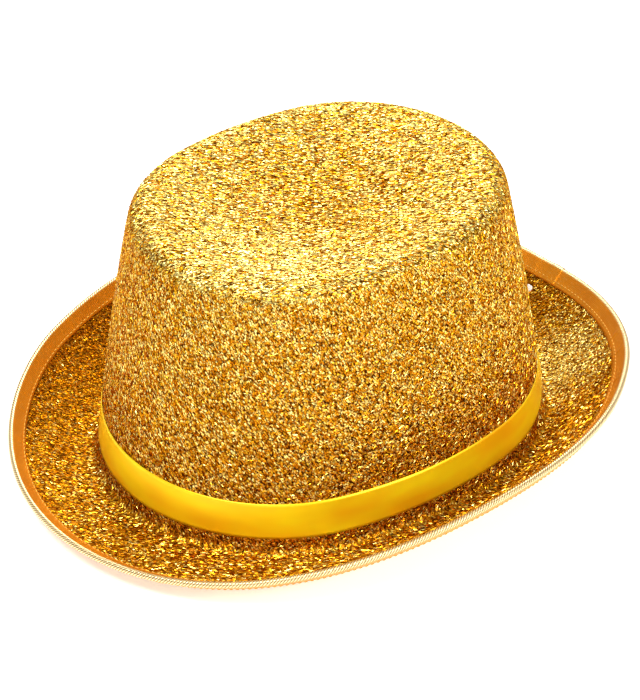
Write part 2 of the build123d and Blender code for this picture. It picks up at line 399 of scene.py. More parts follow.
def knit_material(colours):
    """Metallic film knit: each strand has its own tint and lean, with painted shade in the gaps between the
    strands. On the wall the strands follow the cloth's own map, and on the tip and brim they run straight
    across the hat."""
    graph = Graph("gold_knit")
    on_wall, on_brim = graph.zones()
    flat_cell, flat_gap = strand_cells(graph, graph.object_place(), GRAIN_TURN, *FLAT_STRAND)
    wall_cell, wall_gap = strand_cells(graph, graph.weave_place(), WALL_GRAIN_TURN, *WALL_STRAND)
    cell = graph.mix(on_wall, flat_cell, wall_cell)
    gap = flat_gap * (1 - on_wall) + wall_gap * on_wall
    tone, polish = graph.node("ShaderNodeSeparateColor", {0: cell}, out=(0, 1))
    # Painted light by zone: the tip's tone raised and the brim's and wall's lowered, for how the light falls
    # on each
    tone_with_painted_light = tone - on_brim * 0.22 - on_wall * 0.03 + (1 - on_wall) * (1 - on_brim) * 0.20
    # Painted light: soft patches where the tone is raised for a painted highlight or lowered for painted
    # shade
    for middle, reach, gain in PAINTED_LIGHT_PATCHES:
        distance = {0: graph.object_place(), 1: middle}
        apart = graph.node("ShaderNodeVectorMath", distance, {"operation": "DISTANCE"}, out=1)
        tone_with_painted_light = tone_with_painted_light + graph.remap(apart, 0.0, reach, gain, 0.0)
    deep, gold, pale = colours.knit_deep, colours.knit_gold, colours.knit_pale
    tint = graph.ramp(tone_with_painted_light, (0.0, deep), (0.35, deep), (0.6, gold), (0.95, pale))
    # Painted shade: the gaps between the strands darkened towards the painted gap shade colour
    gap_shade = graph.remap(gap, 0.42, 0.72)
    base = graph.mix(gap_shade, tint, colours.knit_gap_shade)
    lean = graph.vector("SUBTRACT", cell, (0.5, 0.5, 0.5))
    normal = graph.node("ShaderNodeNewGeometry", out=1)
    leaned = graph.vector("MULTIPLY_ADD", lean, (STRAND_LEAN,) * 3, normal)
    facing = graph.vector("NORMALIZE", leaned)
    normal = graph.bump(1 - gap, 0.25 * MM, 0.6, facing)
    values = {"Base Color": base, "Metallic": 0.95, "Roughness": polish * 0.25 + 0.2, "Normal": normal}
    return graph.finish({**values, "Specular Tint": (*colours.knit_gold, 1.0)})


def strand_material(colours):
    """Loose film strands that stand out of the knit: each has one tint, stored as its tone, which carries
    painted light by zone and in soft patches.
    """
    graph = Graph("gold_strands")
    tone = graph.attribute("tone")
    deep, gold, pale = colours.knit_deep, colours.knit_gold, colours.knit_pale
    # The darkest strands take the painted gap shade
    tint = graph.ramp(tone, (0.0, colours.knit_gap_shade), (0.25, deep), (0.55, gold), (0.9, pale))
    values = {"Base Color": tint, "Metallic": 0.95, "Roughness": 0.3}
    return graph.finish({**values, "Specular Tint": (*colours.knit_gold, 1.0)})


def satin_material(colours):
    """Woven satin: fine weft ribs, and a broad sheen painted into its colour as long soft patches."""
    graph = Graph("satin_ribbon")
    place = graph.weave_place()
    ribs = graph.wave(place, "X", 520.0, 0.4)
    fibre = graph.drawn_noise(place, (900.0, 90.0, 1.0), 3.0)
    patches = graph.drawn_noise(place, (22.0, 60.0, 1.0), 2.0)
    height = ribs * 0.35 + fibre * 0.65
    # Painted sheen: long soft patches that move the band's colour between its yellow and the deeper satin
    # shade
    tint = graph.mix(graph.remap(patches, 0.35, 0.68), colours.satin_deep, colours.satin)
    normal = graph.bump(height, 0.05 * MM, 0.35)
    values = {"Base Color": tint, "Metallic": 0.5, "Roughness": fibre * 0.14 + 0.30, "Normal": normal}
    return graph.finish(values)


def tape_material(colours):
    """Metallic binding tape: fine cross ribs, painted glints of its metal threads, and a painted highlight
    along its fold.
    """
    graph = Graph("gold_tape")
    place = graph.weave_place()
    ribs = graph.wave(place, "X", 330.0, 0.8, 1.0)
    weft = graph.wave(place, "Y", 420.0, 0.6)
    painted_glints = graph.drawn_noise(place, (2600.0, 900.0, 1.0), 1.0)
    patches = graph.noise(graph.object_place(), 60.0, 3.0)
    height = ribs * 0.6 + weft * 0.4
    fold = graph.zones()[0]
    tint = graph.mix(graph.remap(height, 0.2, 0.9), colours.tape_deep, colours.tape)
    tint = graph.mix(graph.remap(patches, 0.4, 0.75) * 0.5, tint, colours.tape_deep)
    # Painted highlight: glints of the metal threads painted in pale gold
    tint = graph.mix(graph.remap(painted_glints, 0.62, 0.8) * 0.6, tint, colours.knit_pale)
    # Painted highlight along the round fold, with the tape's slanting threads across it
    slant = graph.wave(place, "DIAGONAL", TURN / (10 * RIB_PITCH))
    painted_fold_highlight = graph.mix(graph.remap(slant, 0.15, 0.6), colours.fold_deep, colours.fold)
    tint = graph.mix(graph.remap(fold, 0.1, 0.5), tint, painted_fold_highlight)
    normal = graph.bump(height, 0.12 * MM, 0.6)
    values = {"Base Color": tint, "Metallic": 0.8, "Roughness": 0.42 - fold * 0.1, "Normal": normal}
    return graph.finish(values)


def thread_material(colours):
    """Twisted sewing thread."""
    graph = Graph("gold_thread")
    place = graph.weave_place()
    twist = graph.wave(place, "DIAGONAL", 700.0, 0.3)
    tint = graph.mix(twist, colours.tape_deep, colours.thread)
    return graph.finish({"Base Color": tint, "Roughness": 0.55, "Normal": graph.bump(twist, 0.05 * MM, 0.5)})


def felt_material(colours):
    """Moulded felt: matted short fibres with soft mottling."""
    graph = Graph("felt")
    place = graph.object_place()
    fibre = graph.noise(place, 1800.0, 4.0)
    mottle = graph.noise(place, 70.0, 3.0)
    fleck = graph.node("ShaderNodeTexVoronoi", {0: place, 2: 900.0}, out=0)
    tint = graph.mix(graph.remap(mottle, 0.3, 0.7), colours.felt, colours.felt_deep)
    tint = graph.mix(graph.remap(fibre, 0.35, 0.65) * 0.35, tint, colours.felt_deep)
    normal = graph.bump(fibre * 0.7 + fleck * 0.3, 0.25 * MM, 0.7)
    values = {"Base Color": tint, "Roughness": 0.92, "Normal": normal}
    values.update({"Sheen Weight": 0.3, "Sheen Roughness": 0.5})
    return graph.finish(values)


def ribbon_material(name, tint, deep, rib_count):
    """Plain woven ribbon: crossing warp and weft ribs."""
    graph = Graph(name)
    place = graph.weave_place()
    warp = graph.wave(place, "X", rib_count, 0.5)
    weft = graph.wave(place, "Y", rib_count, 0.5)
    height = warp * 0.5 + weft * 0.5
    shade = graph.mix(graph.remap(height, 0.2, 0.8), deep, tint)
    return graph.finish({"Base Color": shade, "Roughness": 0.7, "Normal": graph.bump(height, 0.12 * MM, 0.5)})


def wire_material():
    """Drawn steel wire."""
    graph = Graph("edge_wire_steel")
    grain = graph.noise(graph.object_place(), 1200.0, 2.0)
    tint = graph.mix(grain, (0.30, 0.30, 0.31), (0.55, 0.55, 0.56))
    return graph.finish({"Base Color": tint, "Metallic": 1.0, "Roughness": grain * 0.2 + 0.3})


def plastic_material(colours):
    """Milky moulded plastic."""
    graph = Graph("clear_plastic")
    haze = graph.noise(graph.object_place(), 900.0, 2.0)
    return graph.finish({"Base Color": graph.colour(colours.plastic), "Roughness": haze * 0.2 + 0.2})


# Shapes -------------------------------------------------------------------------------------------

def polar_oval(angle, half_width, half_length, end_radius):
    """Distance from the axis to a four-arc oval: on an end arc the ray meets the end circle, centred
    on Y; elsewhere it meets the side circle, whose radius lets the two arcs touch smoothly."""
    end_centre = half_length - end_radius
    side_radius = (half_width**2 + end_centre**2 - end_radius**2) / (2 * (half_width - end_radius))
    side_centre = side_radius - half_width
    turn = np.arctan2(side_centre, end_centre)
    join_x = end_radius * np.sin(turn)
    join_y = end_centre + end_radius * np.cos(turn)
    across, along = np.abs(np.sin(angle)), np.abs(np.cos(angle))
    end = end_centre * along + np.sqrt(np.maximum(end_radius**2 - (end_centre * across) ** 2, 0))
    side = np.sqrt(side_radius**2 - (side_centre * along) ** 2) - side_centre * across
    return np.where(across * join_y < along * join_x, end, side)


def crown_reach(sizes, angle, height):
    """Wall's distance from the axis at a height: the oval between foot and tip, plus the bulge."""
    share = height / sizes.crown_height
    swell = 4 * sizes.bulge * share * (1 - share)
    return polar_oval(
        angle,
        sizes.foot_half_width + (sizes.tip_half_width - sizes.foot_half_width) * share + swell,
        sizes.foot_half_length + (sizes.tip_half_length - sizes.foot_half_length) * share + swell,
        sizes.foot_end_radius + (sizes.tip_end_radius - sizes.foot_end_radius) * share + swell,
    )


def dent(angle, middle, spread, depth):
    """Bell-shaped dent: its depth times e to the minus square of the distance over the spread."""
    return depth * np.exp(-(((angle % TURN) - middle) / spread) ** 2)


def brim_reach(sizes, angle):
    """Distance from the axis to the edge of the brim: its oval, a slight wave and one dent."""
    waver = 0.25 * MM * np.sin(7 * angle + 2.1) - dent(angle, *EDGE_DENT)
    return polar_oval(angle, sizes.brim_half_width, sizes.brim_half_length, sizes.brim_end_radius) + waver


def brim_lift(sizes, angle, reach):
    """Height of the brim over its foot. The share of the way from level ring to edge, cubed over its
    square plus the roll's, comes in level and runs straight. It is multiplied by the edge's height in
    that direction, a sum of cosines, and a soft hinge near the edge adds the upturn."""
    ring_x = sizes.foot_half_width + sizes.level_ring
    ring_y = sizes.foot_half_length + sizes.level_ring
    ring = 1 / np.hypot(np.sin(angle) / ring_x, np.cos(angle) / ring_y)
    edge = 1 / np.hypot(np.sin(angle) / sizes.brim_half_width, np.cos(angle) / sizes.brim_half_length)
    share = np.maximum((reach - ring) / (edge - ring), 0)
    turned = share**3 / (share**2 + BRIM_ROLL**2) * (1 + BRIM_ROLL**2)
    past = share - UPTURN_START
    level = (np.hypot(UPTURN_START, UPTURN_ROUND) - UPTURN_START) / 2
    hinge = (np.hypot(past, UPTURN_ROUND) + past) / 2 - level
    rise = (
        sizes.brim_rise
        - sizes.back_lift * np.cos(angle)
        - sizes.side_lift * np.cos(2 * angle)
        + sizes.corner_dip * np.cos(4 * angle)
        - sizes.brim_twist * np.sin(2 * angle)
        - dent(angle, *BACK_SAG)
    )
    return rise * turned + sizes.brim_upturn * hinge


def around(angle, reach, height):
    """Points at a distance from the axis and a height: the distance times the sine and minus the
    cosine of the angle, which is measured from the front."""
    return np.stack([reach * np.sin(angle), -reach * np.cos(angle), height], axis=-1)


def cover_points(sizes, angle, rows):
    """Outer face of the knit: dish, level rim, round edge, bulging wall, roll and brim. Each row is a
    stretch of the profile: (part, share), with share from 0 to 1 through that part."""
    top = sizes.crown_height - sizes.tip_tilt * (1 + np.cos(angle)) / 2
    edge = sizes.tip_edge
    roll = sizes.junction_roll
    outline = brim_reach(sizes, angle)
    points = []
    for part, share in rows:
        if part == "tip":
            reach = share * (crown_reach(sizes, angle, top) - edge)
            level = np.clip(1 - (share / DISH_SHARE) ** 2, 0, 1)
            flat = sizes.crown_height - sizes.tip_tilt * (1 + share * np.cos(angle)) / 2
            height = flat - sizes.tip_dish * level**1.25
        elif part == "edge":
            bend = share * np.pi / 2
            height = top - edge + edge * np.cos(bend)
            reach = crown_reach(sizes, angle, height) - edge * (1 - np.sin(bend))
        elif part == "wall":
            foot = sizes.brim_foot + roll
            height = top - edge + (foot - top + edge) * share
            reach = crown_reach(sizes, angle, height)
        elif part == "roll":
            bend = share * np.pi / 2
            height = np.full_like(angle, sizes.brim_foot + roll * (1 - np.sin(bend)))
            reach = crown_reach(sizes, angle, height) + roll * (1 - np.cos(bend))
            height = height + brim_lift(sizes, angle, reach) * np.sin(bend)
        else:
            start = crown_reach(sizes, angle, sizes.brim_foot) + roll
            reach = start + (outline - start) * share
            height = sizes.brim_foot + brim_lift(sizes, angle, reach)
        points.append(around(angle, reach, height))
    return np.array(points)


def profile_rows():
    """Stretches of the cover's profile from the middle of the tip to the edge of the brim."""
    rows = []
    for part, count in (("tip", 30), ("edge", 9), ("wall", 38), ("roll", 7), ("brim", 18)):
        first = 0 if part == "tip" else 1
        rows += [(part, step / count) for step in range(first, count + 1)]
    return rows


def grid_normals(points):
    """Unit normals of a closed-round grid: cross product of the steps along its two directions."""
    along = np.gradient(points, axis=0)
    round_ = np.roll(points, -1, axis=1) - np.roll(points, 1, axis=1)
    normal = np.cross(along, round_)
    size = np.linalg.norm(normal, axis=-1, keepdims=True)
    return np.where(size > 1e-12, normal / np.maximum(size, 1e-12), (0.0, 0.0, 1.0))


def grid_object(name, points, uv, zones=None, closed_rows=False, pole=False, smooth=True):
    """Mesh from a grid that closes round its second direction, and round its first if closed_rows.
    uv has one more column than the grid, for the map's seam; zones gives two values for each row."""
    rows, columns = points.shape[:2]
    row_count = rows if closed_rows else rows - 1
    i, j = np.meshgrid(np.arange(row_count), np.arange(columns), indexing="ij")
    below, beside = (i + 1) % rows, (j + 1) % columns
    upper, lower = i * columns, below * columns
    corners = np.stack([upper + j, lower + j, lower + beside, upper + beside], -1)
    if closed_rows:
        closing = uv[-1] + np.array((0.0, 1.0)) * np.linalg.norm(points[0] - points[-1], axis=-1).mean()
        uv = np.concatenate([uv, closing[None]], axis=0)
    maps = np.stack([uv[i, j], uv[i + 1, j], uv[i + 1, j + 1], uv[i, j + 1]], axis=2).reshape(-1, 2)
    row_zones = None
    if zones is not None:
        row_zones = np.stack([zones[i], zones[below], zones[below], zones[i]], axis=2).reshape(-1, 2)
    return mesh_object(name, points.reshape(-1, 3), corners.reshape(-1, 4), maps, row_zones, smooth, pole)


def mesh_object(name, vertices, faces, uv=None, zones=None, smooth=True, merge=False):
    """Object from arrays of vertices and equal-sided faces, with map points and zones by corner."""
    mesh = bpy.data.meshes.new(name)
    sides = faces.shape[1]
    mesh.vertices.add(len(vertices))
    mesh.vertices.foreach_set("co", np.ascontiguousarray(vertices, dtype=np.float32).ravel())
    mesh.loops.add(faces.size)
    mesh.loops.foreach_set("vertex_index", faces.astype(np.int32).ravel())
    mesh.polygons.add(len(faces))
    mesh.polygons.foreach_set("loop_start", np.arange(len(faces), dtype=np.int32) * sides)
    for map_name, values in (("Weave", uv), ("Zone", zones)):
        if values is not None:
            layer = mesh.uv_layers.new(name=map_name)
            layer.data.foreach_set("uv", np.ascontiguousarray(values, dtype=np.float32).ravel())
    mesh.update(calc_edges=True)
    if merge:
        work = bmesh.new()
        work.from_mesh(mesh)
        bmesh.ops.remove_doubles(work, verts=work.verts, dist=MERGE_DISTANCE)
        work.to_mesh(mesh)
        work.free()
    mesh.validate()
    if smooth:
        mesh.shade_smooth()
    else:
        mesh.shade_flat()
    made = bpy.data.objects.new(name, mesh)
    bpy.context.scene.collection.objects.link(made)
    return made


def solid_layer(name, points, normals, outer, inner, uv, zones, floor=None):
    """Closed layer of cloth between two depths under the cover's face, joined at both ends of the
    profile; floor flattens what would pass below it."""
    face = points - normals * outer
    back = points - normals * inner
    if floor is not None:
        back[..., 2] = np.maximum(back[..., 2], floor)
    loop = np.concatenate([face, back[::-1]], axis=0)
    loop_uv = np.concatenate([uv, uv[::-1]], axis=0)
    return grid_object(name, loop, loop_uv, np.concatenate([zones, zones[::-1]]), pole=True)


def place(piece, material, slot, *nodes):
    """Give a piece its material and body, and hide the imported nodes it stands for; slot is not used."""
    piece.data.materials.clear()
    piece.data.materials.append(material)
    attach(piece, BODY)
    if nodes:
        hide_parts(*nodes)


def cover_grid(sizes):
    """Outer face of the knit on a grid, with its normals, its map and each row's share of wall and
    brim."""
    angle = np.pi + np.arange(ROUND_COUNT) * TURN / ROUND_COUNT
    rows = profile_rows()
    points = cover_points(sizes, angle, rows)
    normals = grid_normals(points)
    middle = [part for part, share in rows].index("wall") + 18
    round_length = closed_length(points[middle])
    steps = np.linalg.norm(np.diff(points, axis=0), axis=-1).mean(axis=1)
    down_length = np.concatenate([[0.0], np.cumsum(steps)])
    uv = cloth_map(round_length, down_length[:, None])
    on_wall = [
        {"wall": 1.0, "edge": max(share - 0.45, 0) / 0.55, "roll": 1 - share}.get(part, 0.0)
        for part, share in rows
    ]
    on_brim = [{"brim": 1.0, "roll": share}.get(part, 0.0) for part, share in rows]
    return rows, points, normals, uv, np.stack([on_wall, on_brim], axis=-1)


def closed_length(points):
    """Distance along a closed row of points, one value more than it has points."""
    steps = np.linalg.norm(np.roll(points, -1, axis=0) - points, axis=-1)
    return np.concatenate([[0.0], np.cumsum(steps)])


def cloth_map(distance, across):
    """Map of a cloth carried round: the distance along it, and the distance across it on each row."""
    return np.stack(np.broadcast_arrays(distance[None, :], across), axis=-1)


def store(piece, name, values):
    """Keep one value per vertex on a piece's mesh."""
    made = piece.data.attributes.new(name, "FLOAT", "POINT")
    made.data.foreach_set("value", np.ascontiguousarray(values, dtype=np.float32).ravel())


def scatter(points, normals, first, last, count, rng):
    """Random places on rows of a grid: a cell by its area, then a spot in it between its corners."""
    low, high = points[first:last], points[first + 1 : last + 1]
    beside = np.roll(low, -1, axis=1)
    area = np.linalg.norm(np.cross(high - low, beside - low), axis=-1).ravel()
    pick = rng.choice(area.size, count, p=area / area.sum())
    i, j = np.divmod(pick, points.shape[1])
    along, across = rng.random((2, count, 1))
    j_next = (j + 1) % points.shape[1]
    start = low[i, j] * (1 - along) + high[i, j] * along
    end = low[i, j_next] * (1 - along) + high[i, j_next] * along
    normal = normals[first:last][i, j]
    return start * (1 - across) + end * across, normal


def strand_points(place, normal, heading, half_length, half_width, stand, lean):
    """Four corners of each strand: two ends of its raised ridge and two feet beside it."""
    heading = heading - normal * np.sum(heading * normal, axis=-1, keepdims=True)
    heading /= np.maximum(np.linalg.norm(heading, axis=-1, keepdims=True), 1e-9)
    beside = np.cross(normal, heading)
    ridge = normal * stand
    foot = normal * -STRAND_ROOT
    tip = heading * half_length
    side = beside * half_width
    rock = normal * lean
    ends = [place + tip + ridge, place - tip + ridge]
    feet = [place + side + foot + rock, place - side + foot - rock]
    return np.stack(ends + feet, axis=1)


def strands_object(name, corners, tone):
    """Mesh of slim closed four-faced strands from their corners."""
    count = len(corners)
    turns = np.array([[1, 0, 2], [0, 1, 3], [0, 3, 2], [1, 2, 3]])
    faces = (np.arange(count)[:, None, None] * 4 + turns).reshape(-1, 3)
    piece = mesh_object(name, corners.reshape(-1, 3), faces, smooth=False)
    store(piece, "tone", np.repeat(tone, 4))
    return piece


def brim_stack(sizes):
    """Thickness of felt and knit together at the brim's edge, with the glue between them."""
    return sizes.cover_thickness + sizes.felt_thickness + EDGE_GLUE


def tape_reach(sizes):
    """Distance from the middle of the brim's edge to the outside of the tape on it."""
    return brim_stack(sizes) / 2 + EDGE_GLUE + sizes.tape_thickness


def brim_surface(sizes, angle, inward, lift):
    """Points beside the brim's edge, and their normals: inward metres from the edge along the brim's
    top, then lift along the normal, the cross product of a step outwards and a step round."""
    edge = brim_reach(sizes, angle)
    step = SMALL_STEP
    fall = brim_lift(sizes, angle, edge) - brim_lift(sizes, angle, edge - step)
    flat_share = step / np.hypot(step, fall)
    reach = edge - inward * flat_share
    height = sizes.brim_foot + brim_lift(sizes, angle, reach)
    here = around(angle, reach, height)
    out = around(angle, reach + step, sizes.brim_foot + brim_lift(sizes, angle, reach + step)) - here
    turned = angle + 0.002
    edge_next = brim_reach(sizes, turned)
    reach_next = edge_next - inward * flat_share
    along = around(turned, reach_next, sizes.brim_foot + brim_lift(sizes, turned, reach_next)) - here
    normal = np.cross(out, along)
    normal /= np.linalg.norm(normal, axis=-1, keepdims=True)
    return here + normal * np.asarray(lift)[..., None], normal


def puckers(distance, total, rng):
    """Small cross ridges of a tape eased round a curve: a sum of narrow bumps at uneven places."""
    places = (np.arange(PUCKER_COUNT) + rng.random(PUCKER_COUNT)) * total / PUCKER_COUNT
    widths = rng.uniform(*PUCKER_WIDTHS, PUCKER_COUNT) * MM
    heights = rng.uniform(*PUCKER_HEIGHTS, PUCKER_COUNT) * MM
    apart = distance[:, None] - places[None, :]
    apart = (apart + total / 2) % total - total / 2
    return (heights * np.exp(-((apart / widths) ** 2))).sum(axis=1)


def thread_row(name, path, normals, pitch, radius):
    """Machine stitches along a closed path: each is a tube that rises out of the cloth and dives in,
    by half a sine wave, and is as thick as the root of that wave."""
    distance = closed_length(path)
    count = int(round(distance[-1] / pitch))
    starts = np.arange(count) * distance[-1] / count
    share = np.linspace(0, 1, 8)
    spot = (starts[:, None] + share[None, :] * pitch * 0.84) % distance[-1]
    path = np.concatenate([path, path[:1]])
    normals = np.concatenate([normals, normals[:1]])
    centre = np.stack([np.interp(spot, distance, path[:, k]) for k in range(3)], axis=-1)
    up = np.stack([np.interp(spot, distance, normals[:, k]) for k in range(3)], axis=-1)
    rise = np.sin(np.pi * share)
    centre = centre + up * (STITCH_RISE * (rise - 0.55))[None, :, None]
    along = np.gradient(centre, axis=1)
    along /= np.linalg.norm(along, axis=-1, keepdims=True)
    beside = np.cross(along, up)
    turn = np.arange(THREAD_SIDES) * TURN / THREAD_SIDES
    size = radius * np.sqrt(np.maximum(rise, 0.0))
    level = beside[:, :, None] * np.cos(turn)[:, None]
    ring = level + np.cross(beside, along)[:, :, None] * np.sin(turn)[:, None]
    tubes = centre[:, :, None] + ring * size[None, :, None, None]
    counts = (count, len(share) - 1, THREAD_SIDES)
    block, step, side = np.meshgrid(*[np.arange(number) for number in counts], indexing="ij")
    next_side = (side + 1) % THREAD_SIDES
    start = (block * len(share) + step) * THREAD_SIDES
    end = start + THREAD_SIDES
    corners = np.stack([start + side, start + next_side, end + next_side, end + side], axis=-1).reshape(-1, 4)
    travel = spot[:, :, None] * np.ones(THREAD_SIDES)
    girth = np.broadcast_to(turn * radius, travel.shape)
    uv = np.stack([travel, girth], axis=-1).reshape(-1, 2)[corners]
    return mesh_object(name, tubes.reshape(-1, 3), corners, uv.reshape(-1, 2), merge=True)


def turn_outwards(piece):
    """Make a closed mesh's faces point outwards."""
    work = bmesh.new()
    work.from_mesh(piece.data)
    bmesh.ops.recalc_face_normals(work, faces=work.faces)
    work.to_mesh(piece.data)
    work.free()


def flat_heading(count, rng):
    """Directions that run straight across the hat, give or take a random turn."""
    turn = GRAIN_TURN + rng.normal(0, GRAIN_SPREAD, count)
    return np.stack([np.cos(turn), np.sin(turn), np.zeros_like(turn)], axis=-1)


def steep_heading(normal, rng):
    """Directions drawn up the wall: mostly steep and leaning one way, give or take a random turn."""
    level = np.cross((0.0, 0.0, 1.0), normal)
    up = np.cross(normal, level)
    steep = STEEP_TURN + rng.normal(0, STEEP_SPREAD, len(normal))
    return level * np.cos(steep)[:, None] + up * np.sin(steep)[:, None]


def sweat_depth(sizes):
    """Depth of the felt's inner face under the face of the knit."""
    return sizes.cover_thickness + sizes.felt_thickness + GLUE


def rounded(value):
    """Cosine or sine squared off a little, for a slug with flattened sides."""
    return np.sign(value) * np.abs(value) ** 0.6


def direction(azimuth, elevation):
    """Unit vector from the hat towards a place round it; azimuth 0 is in front."""
    turn, rise = np.radians(azimuth), np.radians(elevation)
    return Vector((np.sin(turn) * np.cos(rise), -np.cos(turn) * np.cos(rise), np.sin(rise)))


def hat_middle():
    """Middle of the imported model's box."""
    low, high = CAD_BOUNDS
    return (Vector(low) + Vector(high)) / 2


def closed_strip(name, loop):
    """Closed thin sheet from cross loops: the loops joined in turn, and both ends sewn shut."""
    half = loop.shape[1] // 2
    first = np.concatenate([loop[0, :half], loop[0, :half][::-1]])[None]
    last = np.concatenate([loop[-1, :half], loop[-1, :half][::-1]])[None]
    points = np.concatenate([first, loop, last])
    rows, columns = points.shape[:2]
    uv = np.stack(np.meshgrid(np.arange(columns + 1) * MM, np.arange(rows) * LABEL_ROW), axis=-1)
    return grid_object(name, points, uv, pole=True)


# Operators ----------------------------------------------------------------------------------------

class HAT_OT_lurex_cover(bpy.types.Operator):
    """Build the gold knit over the crown and the brim, with its loose film strands"""

    bl_idname = "party_hat.lurex_cover"
    bl_label = "Gold Knit Cover"

    def execute(self, context):
        sizes, colours = context.scene.hat_sizes, context.scene.hat_colours
        rows, points, normals, uv, zones = cover_grid(sizes)
        cover = solid_layer("gold_knit_cover", points, normals, 0.0, sizes.cover_thickness, uv, zones)
        place(cover, knit_material(colours), "gold_knit", "lurex_cover")
        strands = strand_material(colours)
        rng = np.random.default_rng(7)
        parts = [part for part, share in rows]
        wall_first, wall_last = parts.index("edge") + 4, parts.index("brim") - 3
        brim_first, brim_last = wall_last, len(rows) - 4
        tip = scatter(points, normals, 0, wall_first, TIP_STRANDS, rng)
        self.add_strands("tip_strands", tip, flat_heading(TIP_STRANDS, rng), TIP_PAINTED_LIGHT_TONE, rng, strands)
        brim = scatter(points, normals, brim_first, brim_last, BRIM_STRANDS, rng)
        self.add_strands("brim_strands", brim, flat_heading(BRIM_STRANDS, rng), BRIM_PAINTED_LIGHT_TONE, rng, strands)
        wall = scatter(points, normals, wall_first, wall_last, WALL_STRANDS, rng)
        self.add_strands("wall_strands", wall, steep_heading(wall[1], rng), WALL_PAINTED_LIGHT_TONE, rng, strands)
        return {"FINISHED"}

    def add_strands(self, name, spots, heading, tone, rng, material):
        """One piece of strands with random lengths, leans and tints."""
        place_on, normal = spots
        count = len(place_on)
        half_length = rng.uniform(*STRAND_HALF_LENGTHS, (count, 1)) * MM
        half_width = rng.uniform(*STRAND_HALF_WIDTHS, (count, 1)) * MM
        stand = rng.uniform(*STRAND_STANDS, (count, 1)) * MM
        lean = rng.normal(0, STRAND_ROCK, (count, 1)) * MM
        corners = strand_points(place_on, normal, heading, half_length, half_width, stand, lean)
        # Each zone's tone carries painted light; a random spread goes on top
        tint = tone + rng.normal(0, TONE_SPREAD, count)
        # Painted light: the same soft patches raise or lower each strand's tone for painted highlight and
        # shade
        for middle, reach, gain in PAINTED_LIGHT_PATCHES:
            tint += gain * np.clip(1 - np.linalg.norm(place_on - middle, axis=1) / reach, 0, 1)
        place(strands_object(name, corners, np.clip(tint, 0, 1)), material, "gold_knit")


class HAT_OT_felt_shell(bpy.types.Operator):
    """Build the moulded felt form under the knit, seen inside and under the brim"""

    bl_idname = "party_hat.felt_shell"
    bl_label = "Felt Form"

    def execute(self, context):
        sizes, colours = context.scene.hat_sizes, context.scene.hat_colours
        rows, points, normals, uv, zones = cover_grid(sizes)
        outer = sizes.cover_thickness + FELT_GLUE
        inner = outer + sizes.felt_thickness
        shell = solid_layer("felt_form", points, normals, outer, inner, uv, zones, floor=0.0)
        place(shell, felt_material(colours), "felt", "hat_shell")
        return {"FINISHED"}


class HAT_OT_hat_band(bpy.types.Operator):
    """Build the satin band round the foot of the crown, with its lapped end"""

    bl_idname = "party_hat.hat_band"
    bl_label = "Satin Band"

    def execute(self, context):
        sizes, colours = context.scene.hat_sizes, context.scene.hat_colours
        angle = BAND_LAP_ANGLE + np.arange(BAND_COUNT) * TURN / BAND_COUNT
        across = np.linspace(0, 1, 13)[:, None]
        low, high = BAND_LOW[2], BAND_HIGH[2]
        middle = crown_reach(sizes, angle, (low + high) / 2)
        distance = closed_length(around(angle, middle, np.full_like(angle, low)))
        ripple = sum(size * MM * np.sin(count * angle + start) for size, count, start in BAND_RIPPLES)
        from_lap = np.minimum(distance[:-1], distance[-1] - distance[:-1])
        lap = sizes.band_thickness * np.clip((BAND_HALF_LAP - from_lap) / BAND_LAP_STEP, 0, 1)
        waver = BAND_WAVER * np.sin(6 * angle + 1.0)
        faces = []
        for share, depth in ((across, sizes.band_thickness), (across[::-1], 0.0)):
            height = low + (high - low) * share + waver * (share - 0.5)
            ease = np.sin(np.pi * share)
            offset = GLUE + depth + lap + (ripple + BAND_SWELL) * ease
            faces.append(around(angle + 0 * height, crown_reach(sizes, angle, height) + offset, height))
        points = np.concatenate(faces, axis=0)
        span = np.concatenate([across, across[::-1]]) * (high - low)
        band = grid_object("satin_band", points, cloth_map(distance, span), closed_rows=True)
        turn_outwards(band)
        place(band, satin_material(colours), "satin_ribbon", "hat_band")
        return {"FINISHED"}


